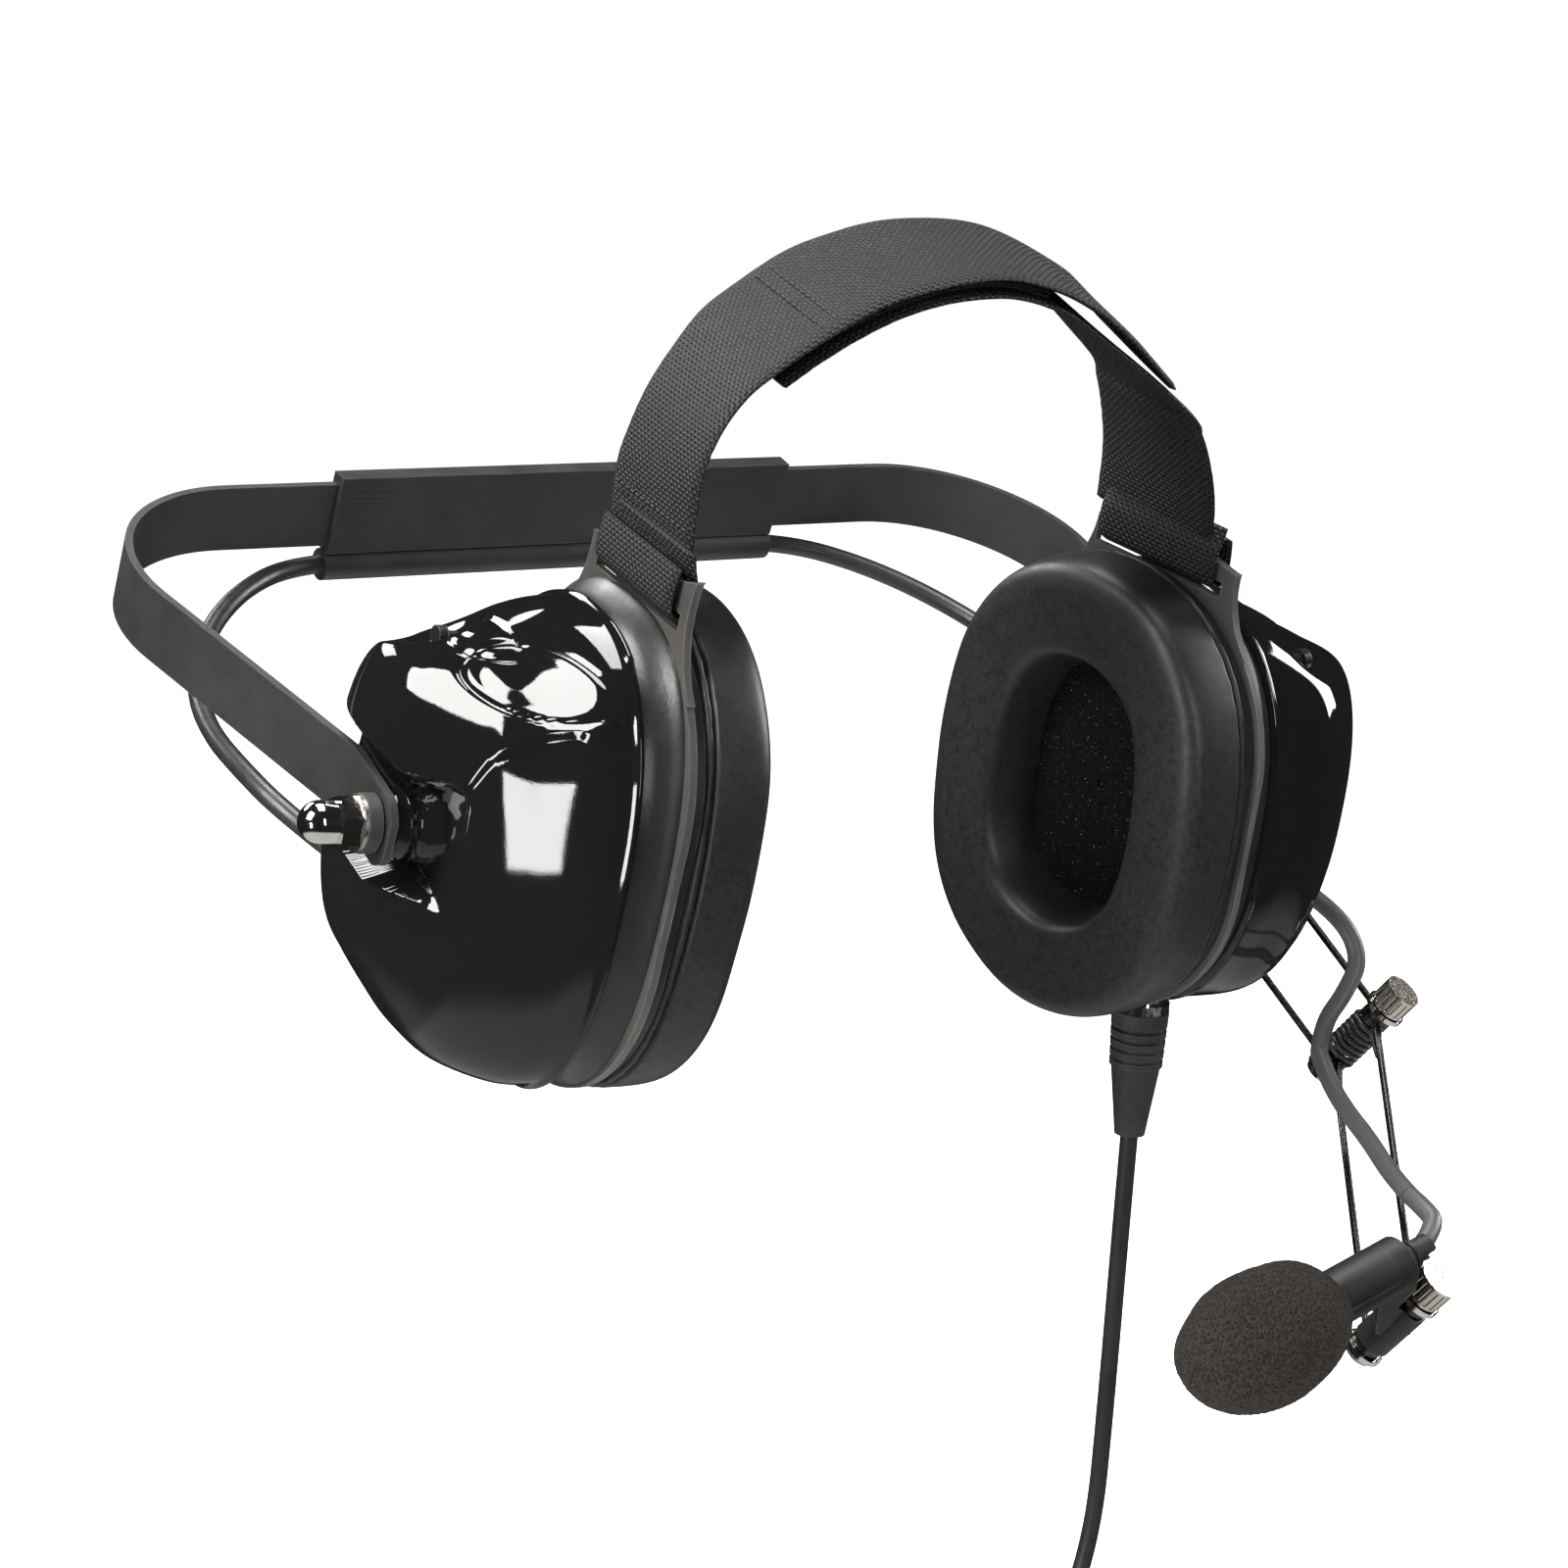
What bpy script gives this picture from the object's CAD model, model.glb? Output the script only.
"""Aviation headset: the looks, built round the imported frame. Metres, in the frame's own axes.

+X is the wearer's left, -Y is forward, +Z is up; the origin is the centre of the head. The ear
cups have their own axes (u outward, v across, w up), as in the part's source.
"""
import math

import bmesh
import bpy
import numpy as np
from mathutils import Matrix, Vector, noise


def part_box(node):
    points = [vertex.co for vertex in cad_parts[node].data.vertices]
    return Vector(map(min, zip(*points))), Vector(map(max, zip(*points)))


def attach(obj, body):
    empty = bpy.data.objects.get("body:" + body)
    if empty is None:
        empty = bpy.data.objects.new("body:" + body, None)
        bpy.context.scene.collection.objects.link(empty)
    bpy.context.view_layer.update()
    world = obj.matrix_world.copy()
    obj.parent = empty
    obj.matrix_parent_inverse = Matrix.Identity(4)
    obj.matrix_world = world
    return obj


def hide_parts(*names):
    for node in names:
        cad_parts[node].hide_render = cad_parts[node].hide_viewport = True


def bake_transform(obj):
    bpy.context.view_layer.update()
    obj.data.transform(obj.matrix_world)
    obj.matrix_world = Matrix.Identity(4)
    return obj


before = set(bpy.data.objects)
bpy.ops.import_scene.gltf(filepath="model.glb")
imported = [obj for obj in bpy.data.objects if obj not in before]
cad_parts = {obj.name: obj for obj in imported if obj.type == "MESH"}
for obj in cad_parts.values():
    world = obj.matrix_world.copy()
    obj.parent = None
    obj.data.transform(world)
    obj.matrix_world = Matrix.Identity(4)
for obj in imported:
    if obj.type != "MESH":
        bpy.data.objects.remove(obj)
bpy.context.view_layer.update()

MM = 0.001
LEFT = 1
RIGHT = -1
SIDES = {"left": LEFT, "right": RIGHT}
CUP_CENTRE = 48.83
CUP_PITCH = 10.73
CUP_SPLAY = -3.28
CUP_TOE = 6.97


def cup_matrix(side):
    """Cup axes in millimetres to the frame in metres."""
    turn = Matrix.Rotation(math.radians(CUP_PITCH), 4, "X")
    turn = turn @ Matrix.Rotation(math.radians(side * CUP_SPLAY), 4, "Y")
    turn = turn @ Matrix.Rotation(math.radians(side * CUP_TOE), 4, "Z")
    if side == RIGHT:
        turn = turn @ Matrix.Rotation(math.pi, 4, "Z")
    return Matrix.Scale(MM, 4) @ Matrix.Translation((side * CUP_CENTRE, 0, 0)) @ turn


def cup_point(side, u, v_rear, w):
    return cup_matrix(side) @ Vector((u, side * v_rear, w))


def mm_points(points):
    return [Vector(point) * MM for point in points]


# ------------------------------------------------------------------ camera

def add_camera():
    azimuth = math.radians(-36.549)
    elevation = math.radians(12.72)
    roll = math.radians(3.855)
    back = Vector((math.sin(azimuth) * math.cos(elevation),
                   -math.cos(azimuth) * math.cos(elevation),
                   math.sin(elevation)))
    level = Vector((math.cos(azimuth), math.sin(azimuth), 0))
    upright = back.cross(level)
    right = level * math.cos(roll) + upright * math.sin(roll)
    up = upright * math.cos(roll) - level * math.sin(roll)
    data = bpy.data.cameras.new("camera")
    data.sensor_width = 36
    data.lens = 85.1
    data.clip_start = 0.01
    data.clip_end = 30
    camera = bpy.data.objects.new("camera", data)
    camera.matrix_world = Matrix.Translation((-0.45256, -0.58070, 0.17096)) @ Matrix(
        (right, up, back)).transposed().to_4x4()
    bpy.context.collection.objects.link(camera)
    bpy.context.scene.camera = camera


add_camera()


# ------------------------------------------------------------------ materials

class Nodes:
    """A material's node tree, with short calls for the nodes used here."""

    def __init__(self, name):
        self.material = bpy.data.materials.new(name)
        self.material.use_nodes = True
        self.tree = self.material.node_tree
        self.shader = self.tree.nodes["Principled BSDF"]

    def add(self, kind, inputs=None, **settings):
        made = self.tree.nodes.new(kind)
        for key, value in settings.items():
            setattr(made, key, value)
        for key, value in (inputs or {}).items():
            if isinstance(value, bpy.types.NodeSocket):
                self.tree.links.new(value, made.inputs[key])
            else:
                made.inputs[key].default_value = value
        return made

    def set(self, **inputs):
        for key, value in inputs.items():
            socket = self.shader.inputs[key.replace("_", " ")]
            if isinstance(value, bpy.types.NodeSocket):
                self.tree.links.new(value, socket)
            else:
                socket.default_value = value

    def place(self):
        return self.add("ShaderNodeTexCoord").outputs["Object"]

    def uv(self):
        return self.add("ShaderNodeTexCoord").outputs["UV"]

    def noise(self, vector, scale, detail=4.0, rough=0.55):
        inputs = {"Vector": vector, "Scale": scale, "Detail": detail, "Roughness": rough}
        return self.add("ShaderNodeTexNoise", inputs).outputs["Fac"]

    def cells(self, vector, scale, feature="F1"):
        node = self.add("ShaderNodeTexVoronoi", {"Vector": vector, "Scale": scale}, feature=feature)
        return node.outputs["Distance"]

    def math(self, operation, first, second=0.0):
        return self.add("ShaderNodeMath", {0: first, 1: second}, operation=operation).outputs[0]

    def span(self, value, low, high, to_low, to_high):
        inputs = {"Value": value, "From Min": low, "From Max": high, "To Min": to_low,
                  "To Max": to_high}
        return self.add("ShaderNodeMapRange", inputs).outputs["Result"]

    def mix(self, factor, first, second):
        node = self.add("ShaderNodeMix", data_type="RGBA")
        for index, value in ((0, factor), (6, first), (7, second)):
            if isinstance(value, bpy.types.NodeSocket):
                self.tree.links.new(value, node.inputs[index])
            elif index:
                node.inputs[index].default_value = (*value, 1)
            else:
                node.inputs[index].default_value = value
        return node.outputs[2]

    def bump(self, height, strength, distance, under=None):
        inputs = {"Height": height, "Strength": strength, "Distance": distance}
        if under is not None:
            inputs["Normal"] = under
        return self.add("ShaderNodeBump", inputs).outputs["Normal"]

    def edge_wear(self, radius):
        """1 on sharp edges, 0 on flats."""
        bevel = self.add("ShaderNodeBevel", {"Radius": radius}, samples=4).outputs["Normal"]
        flat = self.add("ShaderNodeNewGeometry").outputs["Normal"]
        dot = self.add("ShaderNodeVectorMath", {0: bevel, 1: flat}, operation="DOT_PRODUCT")
        return self.span(dot.outputs["Value"], 0.99, 0.86, 0.0, 1.0)


def gloss_shell():
    n = Nodes("gloss_shell")
    place = n.place()
    flow = n.noise(place, 9, 2)
    n.set(Base_Color=n.mix(flow, (0.0035, 0.0035, 0.0038), (0.007, 0.0068, 0.0066)))
    fine = n.noise(place, 2600, 2)
    dust = n.span(n.noise(place, 900, 5, 0.7), 0.62, 0.78, 0.0, 1.0)
    rough = n.math("ADD", n.span(flow, 0.3, 0.7, 0.035, 0.06), n.math("MULTIPLY", dust, 0.05))
    n.set(Roughness=rough, IOR=1.5)
    ripple = n.bump(n.noise(place, 45, 2), 0.03, 0.002)
    n.set(Normal=n.bump(fine, 0.02, 0.0002, ripple))
    return n.material


def painted(name, dark, light, rough, grain=700, strength=0.18, wear=(0.1, 0.1, 0.1)):
    """Moulded plastic or painted metal: mottled colour, fine grain and rubbed edges."""
    n = Nodes(name)
    place = n.place()
    mottle = n.noise(place, 35, 5)
    colour = n.mix(n.span(mottle, 0.3, 0.72, 0.0, 1.0), dark, light)
    worn = n.math("MULTIPLY", n.edge_wear(0.0006),
                  n.span(n.noise(place, 160, 4), 0.4, 0.65, 0.15, 0.9))
    n.set(Base_Color=n.mix(worn, colour, wear))
    smear = n.noise(place, 110, 5, 0.65)
    n.set(Roughness=n.span(smear, 0.3, 0.75, rough - 0.06, rough + 0.09))
    n.set(Normal=n.bump(n.noise(place, grain, 3, 0.7), strength, 0.0003))
    return n


def leather():
    n = Nodes("seal_leather")
    place = n.place()
    warp = n.add("ShaderNodeVectorMath", {0: place}, operation="ADD")
    wander = n.add("ShaderNodeTexNoise", {"Vector": place, "Scale": 260.0, "Detail": 2.0})
    shift = n.add("ShaderNodeVectorMath", {0: wander.outputs["Color"]}, operation="SCALE")
    shift.inputs["Scale"].default_value = 0.0016
    n.tree.links.new(shift.outputs[0], warp.inputs[1])
    grain = n.cells(warp.outputs[0], 1150, "SMOOTH_F1")
    pores = n.cells(warp.outputs[0], 2600)
    tone = n.noise(place, 22, 5)
    colour = n.mix(n.span(tone, 0.3, 0.7, 0.0, 1.0), (0.011, 0.011, 0.0115), (0.015, 0.015, 0.0155))
    dirt = n.span(grain, 0.2, 0.75, 0.0, 1.0)
    n.set(Base_Color=n.mix(dirt, colour, (0.006, 0.006, 0.0062)))
    n.set(Roughness=n.span(n.noise(place, 300, 4), 0.3, 0.75, 0.4, 0.5))
    soft = n.bump(n.noise(place, 30, 2), 0.06, 0.002)
    coarse = n.bump(grain, -0.22, 0.0004, soft)
    n.set(Normal=n.bump(pores, -0.08, 0.0002, coarse))
    return n.material


def foam(name, dark, light, scale, glitter=0.0):
    n = Nodes(name)
    place = n.place()
    cell = n.cells(place, scale)
    second = n.cells(place, scale * 2.3)
    mix = n.math("ADD", cell, n.math("MULTIPLY", second, 0.5))
    colour = n.mix(n.span(mix, 0.25, 0.9, 0.0, 1.0), dark, light)
    if glitter:
        spark = n.span(n.noise(place, scale * 1.7, 1), 0.74, 0.78, 0.0, glitter)
        colour = n.mix(spark, colour, (0.75, 0.7, 0.6))
    n.set(Base_Color=colour, Roughness=0.95, Specular_IOR_Level=0.1)
    n.set(Normal=n.bump(mix, 0.85, 0.0009))
    return n.material


def webbing(name, dark, light, pitch):
    """Woven nylon: a checker of warp and weft threads, worked out from the strip's own UVs."""
    n = Nodes(name)
    scaled = n.add("ShaderNodeVectorMath", {0: n.uv()}, operation="SCALE")
    scaled.inputs["Scale"].default_value = 1 / pitch
    split = n.add("ShaderNodeSeparateXYZ", {0: scaled.outputs[0]})
    across = n.math("ABSOLUTE", n.math("SINE", n.math("MULTIPLY", split.outputs[0], math.pi)))
    along = n.math("ABSOLUTE", n.math("SINE", n.math("MULTIPLY", split.outputs[1], math.pi)))
    cells = n.add("ShaderNodeTexChecker", {"Vector": scaled.outputs[0], "Scale": 1.0})
    height = n.add("ShaderNodeMix", {0: cells.outputs["Fac"], 2: across, 3: along}).outputs[0]
    place = n.place()
    fibre = n.noise(place, 4200, 3)
    height = n.math("ADD", height, n.math("MULTIPLY", fibre, 0.35))
    tone = n.span(n.noise(place, 40, 4), 0.3, 0.7, 0.7, 1.0)
    depth = n.math("MULTIPLY", n.span(height, 0.25, 1.2, 0.0, 1.0), tone)
    n.set(Base_Color=n.mix(depth, dark, light), Roughness=0.55, Specular_IOR_Level=0.35)
    n.set(Normal=n.bump(height, 0.75, 0.0005))
    return n.material


def metal(name, colour, rough, tint=(0.5, 0.43, 0.33)):
    """Bare or plated metal: faint blotches and fine scratches."""
    n = Nodes(name)
    place = n.place()
    blotch = n.span(n.noise(place, 130, 4), 0.45, 0.8, 0.0, 0.35)
    n.set(Base_Color=n.mix(blotch, colour, tint), Metallic=1.0)
    marks = n.noise(place, 1500, 5, 0.7)
    n.set(Roughness=n.span(marks, 0.3, 0.75, rough * 0.7, rough * 1.6))
    n.set(Normal=n.bump(n.noise(place, 900, 4), 0.075, 0.0002))
    return n.material


def jacket(name, dark, light, rough):
    """Cable jacket: smooth, with faint changes of tone and fine grain."""
    n = Nodes(name)
    place = n.place()
    tone = n.noise(place, 30, 4)
    n.set(Base_Color=n.mix(n.span(tone, 0.3, 0.7, 0.0, 1.0), dark, light))
    n.set(Roughness=n.span(n.noise(place, 420, 4), 0.3, 0.75, rough - 0.05, rough + 0.1))
    n.set(Normal=n.bump(n.noise(place, 1300, 3), 0.08, 0.0003))
    return n.material


def brushed_plate():
    """The hanger's warm grey cast plate with fine tumbled grain."""
    return painted("hanger_grey", (0.032, 0.030, 0.028), (0.058, 0.054, 0.050), 0.44, 700, 0.3,
                   (0.13, 0.125, 0.12)).material


def striped_sleeve():
    """Extruded black sleeve: lines drawn along its length."""
    n = painted("sleeve_black", (0.010, 0.010, 0.0095), (0.018, 0.017, 0.016), 0.4, 500, 0.1,
                (0.06, 0.058, 0.055))
    place = n.place()
    squeezed = n.add("ShaderNodeVectorMath", {0: place, 1: (0.04, 1.0, 1.0)}, operation="MULTIPLY")
    lines = n.noise(squeezed.outputs[0], 1400, 4, 0.7)
    n.set(Normal=n.bump(lines, 0.35, 0.0003))
    return n.material


MATERIALS = {
    "shell": gloss_shell(),
    "hanger": brushed_plate(),
    "collar": painted("collar_satin", (0.008, 0.008, 0.0078), (0.016, 0.0155, 0.015), 0.33,
                      wear=(0.04, 0.04, 0.038)).material,
    "leather": leather(),
    "black": painted("moulded_black", (0.006, 0.006, 0.006), (0.013, 0.0125, 0.012), 0.42,
                     wear=(0.05, 0.05, 0.05)).material,
    "band": painted("band_black", (0.013, 0.013, 0.0125), (0.021, 0.0205, 0.0195), 0.46, 1100, 0.2,
                    (0.07, 0.067, 0.063)).material,
    "sleeve": striped_sleeve(),
    "gunmetal": metal("boom_wire", (0.10, 0.098, 0.095), 0.24, tint=(0.05, 0.045, 0.04)),
    "blackmetal": painted("black_metal", (0.008, 0.008, 0.008), (0.018, 0.017, 0.016), 0.3, 900,
                          0.1, (0.16, 0.15, 0.14)).material,
    "chrome": metal("chrome", (0.86, 0.84, 0.8), 0.07),
    "nickel": metal("nickel", (0.8, 0.75, 0.66), 0.16),
    "steel": metal("steel", (0.55, 0.54, 0.52), 0.28),
    "rubber": painted("rubber", (0.012, 0.012, 0.012), (0.024, 0.024, 0.023), 0.55, 900, 0.3,
                      (0.05, 0.05, 0.05)).material,
    "jacket": jacket("cable_jacket", (0.012, 0.012, 0.0125), (0.019, 0.019, 0.019), 0.36),
    "lead": jacket("lead_jacket", (0.045, 0.045, 0.044), (0.065, 0.065, 0.063), 0.42),
    "webbing": webbing("webbing", (0.0018, 0.0018, 0.0017), (0.010, 0.0098, 0.009), 0.00085),
    "tape": foam("hook_tape", (0.004, 0.004, 0.004), (0.02, 0.02, 0.019), 900),
    "thread": jacket("stitch_thread", (0.012, 0.012, 0.011), (0.035, 0.034, 0.031), 0.7),
    "windscreen": foam("windscreen_foam", (0.005, 0.0042, 0.0036), (0.030, 0.026, 0.023), 1500),
    "insert": foam("insert_foam", (0.001, 0.0009, 0.0008), (0.006, 0.0055, 0.005), 1500, 0.6),
    "felt": foam("damping_foam", (0.03, 0.03, 0.03), (0.08, 0.08, 0.078), 400),
}

# What each carried-over CAD node is made of.
NODE_MATERIALS = {
    "hanger_plate": "hanger", "baffle_plate": "black", "foam_insert": "insert",
    "speaker_driver": "steel", "damping_foam": "felt", "pivot_stud": "steel",
    "rubber_washer": "rubber", "steel_washer": "steel", "acorn_nut": "chrome",
    "cap_screw": "blackmetal", "baffle_screws": "steel", "cord_socket": "chrome",
    "mic_lead_gland": "black", "neckband": "band", "band_sleeve": "sleeve",
    "crossover_cable_middle": "jacket", "boom_bracket": "blackmetal",
    "upper_boom_wires": "gunmetal",
    "lower_boom_wires": "gunmetal", "elbow_screw": "chrome", "elbow_washers": "chrome",
    "elbow_thumb_nut": "nickel", "clamp_screw": "steel", "clamp_washers": "chrome",
    "clamp_thumb_nut": "nickel", "mic_housing": "black", "mic_housing_cover": "black",
    "mic_capsule": "black", "cord_plug": "rubber", "far_plug": "rubber",
}


# ------------------------------------------------------------------ building helpers

def finish_mesh(name, verts, faces, material, body, matrix=None, uvs=None):
    mesh = bpy.data.meshes.new(name)
    mesh.from_pydata([tuple(v) for v in verts], [], faces)
    if uvs is not None:
        layer = mesh.uv_layers.new(name="cloth")
        for loop in mesh.loops:
            layer.data[loop.index].uv = uvs[loop.vertex_index]
    if matrix is not None:
        mesh.transform(matrix)
    mesh.validate()
    mesh.update()
    made = bpy.data.objects.new(name, mesh)
    bpy.context.collection.objects.link(made)
    mesh.polygons.foreach_set("use_smooth", [True] * len(mesh.polygons))
    mesh.materials.append(MATERIALS[material])
    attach(made, body)
    return made


def grid_faces(rows, columns):
    """Four-sided faces between rows of points, each row closed on itself."""
    faces = []
    for row in range(rows - 1):
        for column in range(columns):
            after = (column + 1) % columns
            faces.append((row * columns + column, row * columns + after,
                          (row + 1) * columns + after, (row + 1) * columns + column))
    return faces


def smooth_path(points, steps):
    """Catmull-Rom through rows of numbers."""
    rows = np.array(points, dtype=float)
    ends = np.vstack([2 * rows[0] - rows[1], rows, 2 * rows[-1] - rows[-2]])
    out = []
    for i in range(1, len(ends) - 2):
        a, b, c, d = ends[i - 1:i + 3]
        for step in range(steps):
            t = step / steps
            out.append(0.5 * (2 * b + (c - a) * t + (2 * a - 5 * b + 4 * c - d) * t * t
                              + (3 * b - a - 3 * c + d) * t ** 3))
    out.append(rows[-1])
    return np.array(out)


def cord_curve(name, points, radius, material):
    """A smooth cord: one NURBS spline through its route's points."""
    curve = bpy.data.curves.new(name, "CURVE")
    curve.dimensions = "3D"
    curve.bevel_depth = radius * MM
    curve.bevel_resolution = 6
    curve.use_fill_caps = True
    curve.resolution_u = 12
    spline = curve.splines.new("NURBS")
    spline.points.add(len(points) - 1)
    for target, point in zip(spline.points, points):
        target.co = (*point, 1)
    spline.order_u = 3
    spline.use_endpoint_u = True
    spline.use_smooth = True
    made = bpy.data.objects.new(name, curve)
    bpy.context.collection.objects.link(made)
    curve.materials.append(MATERIALS[material])
    return made


def bevel_edges(node, width, segments=2):
    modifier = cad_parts[node].modifiers.new("soft_edges", "BEVEL")
    modifier.width = width * MM
    modifier.segments = segments
    modifier.limit_method = "ANGLE"
    modifier.angle_limit = math.radians(40)
    modifier.harden_normals = True


# ------------------------------------------------------------------ cords first

PLUG_X = 80.5
PLUG_Y = 1.5
CORD_TOP = -80.1
CORD_BOTTOM = -191
COIL_RADIUS = 22
COIL_SECTION = 6.2
COIL_CENTRE = CORD_BOTTOM - COIL_SECTION - COIL_RADIUS + 0.6
CORD_DIAMETER = 4


def coil_points():
    """Neat turns in an upright ring, each turn stepping to the next lane of the bundle."""
    lanes = [(0, -1.9), (-1.9, 0), (1.9, 0), (0, 1.9), (-3.7, 1.6), (3.7, 1.6), (0, -1.9)]
    per_turn = 14
    points = []
    for step in range(per_turn * (len(lanes) - 1) + 1):
        lane = min(step // per_turn, len(lanes) - 2)
        blend = max(0.0, (step % per_turn - (per_turn - 3)) / 3)
        side = lanes[lane][0] * (1 - blend) + lanes[lane + 1][0] * blend
        out = lanes[lane][1] * (1 - blend) + lanes[lane + 1][1] * blend
        angle = math.pi / 2 + 2 * math.pi * step / per_turn
        radius = COIL_RADIUS + out + 0.25 * math.sin(1.7 * step)
        points.append((PLUG_X + radius * math.cos(angle), PLUG_Y + side,
                       COIL_CENTRE + radius * math.sin(angle)))
    return points


def make_coil_tie():
    """A soft strap round the bundle of turns, at the coil's outer side."""
    profile = [(-3.2, 0.0), (-3.2, 0.7), (-2.6, 1.0), (2.6, 1.0), (3.2, 0.7), (3.2, 0.0),
               (-3.2, 0.0)]
    around = 72
    verts = []
    for up, thick in profile:
        for step in range(around):
            c = math.cos(2 * math.pi * step / around)
            s = math.sin(2 * math.pi * step / around)
            out = (4.7 + thick) * math.copysign(abs(c) ** 0.83, c)
            side = (6.4 + thick) * math.copysign(abs(s) ** 0.83, s)
            verts.append((PLUG_X + COIL_RADIUS + out, PLUG_Y + side, COIL_CENTRE + up))
    tie = finish_mesh("coil_tie", verts, grid_faces(len(profile), around), "rubber",
                      "cord_plug_set", Matrix.Scale(MM, 4))
    return tie


def spline_length(made):
    bare = made.data.copy()
    bare.bevel_depth = 0
    holder = bpy.data.objects.new("measure", bare)
    bpy.context.collection.objects.link(holder)
    bpy.context.view_layer.update()
    mesh = bpy.data.meshes.new_from_object(holder)
    points = [v.co for v in mesh.vertices]
    length = sum((b - a).length for a, b in zip(points, points[1:]))
    bpy.data.objects.remove(holder)
    return length


def make_main_cord():
    straight = [(PLUG_X, PLUG_Y, CORD_TOP), (PLUG_X, PLUG_Y, CORD_TOP - 24),
                (PLUG_X + 0.3, PLUG_Y, CORD_TOP - 62), (PLUG_X, PLUG_Y, CORD_BOTTOM + 14)]
    points = straight + coil_points()[1:]
    cord = cord_curve("hanging_cord_visual", mm_points(points), CORD_DIAMETER / 2, "jacket")
    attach(cord, "cord_plug_set")
    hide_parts("hanging_cord", "cord_coil")
    return cord


main_cord = make_main_cord()
coil_tie = make_coil_tie()
spline_length(main_cord)

# ------------------------------------------------------------------ ear shells

# u, centre v, centre w, half-width, half-height: the part's sections, with the crown rounded off.
SHELL_SECTIONS = [
    (27, -0.6, -2.2, 35.4, 47.6), (34, -3.0, -3.6, 33.8, 47.0), (42, -8.0, -5.5, 31.0, 43.9),
    (47, -10.3, -4.8, 27.7, 41.2), (50, -11.8, -4.0, 25.0, 38.6), (56, -14.8, -1.4, 18.5, 33.2),
    (60, -16.5, 0.8, 13.0, 28.8), (62.5, -17.5, 3.5, 8.0, 20.5), (63.5, -17.8, 4.0, 4.0, 12.0),
    (63.9, -17.9, 4.2, 0.6, 2.5),
]
COLLAR_SECTIONS = [
    (20.15, 0.0, 0.0, 36.9, 49.2), (20.8, 0.0, -0.1, 36.6, 48.9), (22.5, -0.2, -0.6, 35.6, 47.9),
    (24.5, -0.4, -1.3, 34.9, 47.2), (26.9, -0.6, -2.1, 34.7, 46.9),
]
SHELL_POWER = 2.5
SHELL_REACH = 62.0
STUD_ACROSS = 2.0
STUD_MIDDLE = 62
# In the cup's own millimetres: the hollow round the pivot in (v, w) and its floor's u, the round
# dip (u, v, w), the raised panel's outline, and two shallow ovals as (centre, half sizes, turn).
HOLLOW = np.array([(-13, -9), (-6, -12.5), (6, -11.5), (14, -17), (30, -26), (30, 32), (16, 21),
                   (10, 12.5), (-2, 9)])
HOLLOW_FLOOR = 50.6
DIP_CENTRE = (51.5, -23.4, 41.2)
DIP_RADIUS = 12
PANEL = np.array([(10, 10), (12.5, 19), (17.5, 26), (21.5, 28.6), (24.6, 29.0), (25.6, 31.5),
                  (24, 37), (19, 42), (14, 60), (-60, 60), (-60, 10)])
OVALS = [((10.5, 34.4), (13.2, 5.8), -0.03), ((-6.4, 36.6), (10.8, 2.3), 0.05)]


def smooth_max(a, b, softness):
    h = np.clip(0.5 + 0.5 * (a - b) / softness, 0, 1)
    return b * (1 - h) + a * h + softness * h * (1 - h)


def segment_distance(v, w, start, end):
    """Distance in the (v, w) plane to a straight segment."""
    run = np.array(end) - np.array(start)
    t = np.clip(((v - start[0]) * run[0] + (w - start[1]) * run[1]) / (run @ run), 0, 1)
    return np.hypot(v - start[0] - t * run[0], w - start[1] - t * run[1])


def outline_distance(v, w, corners):
    """Distance in the (v, w) plane to a closed outline, below zero inside it."""
    reach = np.full(v.shape, 1e9)
    inside = np.full(v.shape, False)
    for start, end in zip(corners, np.roll(corners, -1, axis=0)):
        reach = np.minimum(reach, segment_distance(v, w, start, end))
        spans = (start[1] > w) != (end[1] > w)
        rise = end[1] - start[1] if end[1] != start[1] else 1e-9
        inside ^= spans & (v < start[0] + (w - start[1]) / rise * (end[0] - start[0]))
    return np.where(inside, -reach, reach)


def shell_field(points, side, table):
    """Below zero inside the moulding, above zero outside and in its recesses."""
    u, v, w = points[..., 0], points[..., 1], points[..., 2]
    centre_v = np.interp(u, table[:, 0], table[:, 1])
    centre_w = np.interp(u, table[:, 0], table[:, 2])
    half_v = np.interp(u, table[:, 0], table[:, 3], right=0.2)
    half_w = np.interp(u, table[:, 0], table[:, 4], right=0.5)
    ring = ((np.abs(v - centre_v) / half_v) ** SHELL_POWER
            + (np.abs(w - centre_w) / half_w) ** SHELL_POWER) ** (1 / SHELL_POWER)
    body = (ring - 1) * np.minimum(half_v, 30)
    panel = np.clip(0.5 - outline_distance(v, w, PANEL) / 1.3, 0, 1) * np.clip((v + 16) / 14, 0, 1)
    body = body - 0.75 * panel * panel * (3 - 2 * panel)
    body = body - 0.5 * np.exp(-((u - 27.9) / 0.7) ** 2)
    body = np.where(u > table[-1, 0], np.maximum(body, u - table[-1, 0]), body)
    stud = (side * STUD_ACROSS, 0.0)
    back = (stud[0] + side * 50, 8.0)
    tube = np.hypot((u - 65) / 11.5, segment_distance(v, w, stud, back) / 11.6)
    body = smooth_max(body, -(tube - 1) * 10, 1.2)
    hollow = smooth_max(HOLLOW_FLOOR - u, outline_distance(v, w, HOLLOW) - 0.6, 5)
    body = smooth_max(body, -hollow, 1.1)
    dip = np.sqrt((u - DIP_CENTRE[0]) ** 2 + (v - DIP_CENTRE[1]) ** 2 + (w - DIP_CENTRE[2]) ** 2)
    return smooth_max(body, DIP_RADIUS - dip, 3.0)


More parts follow.
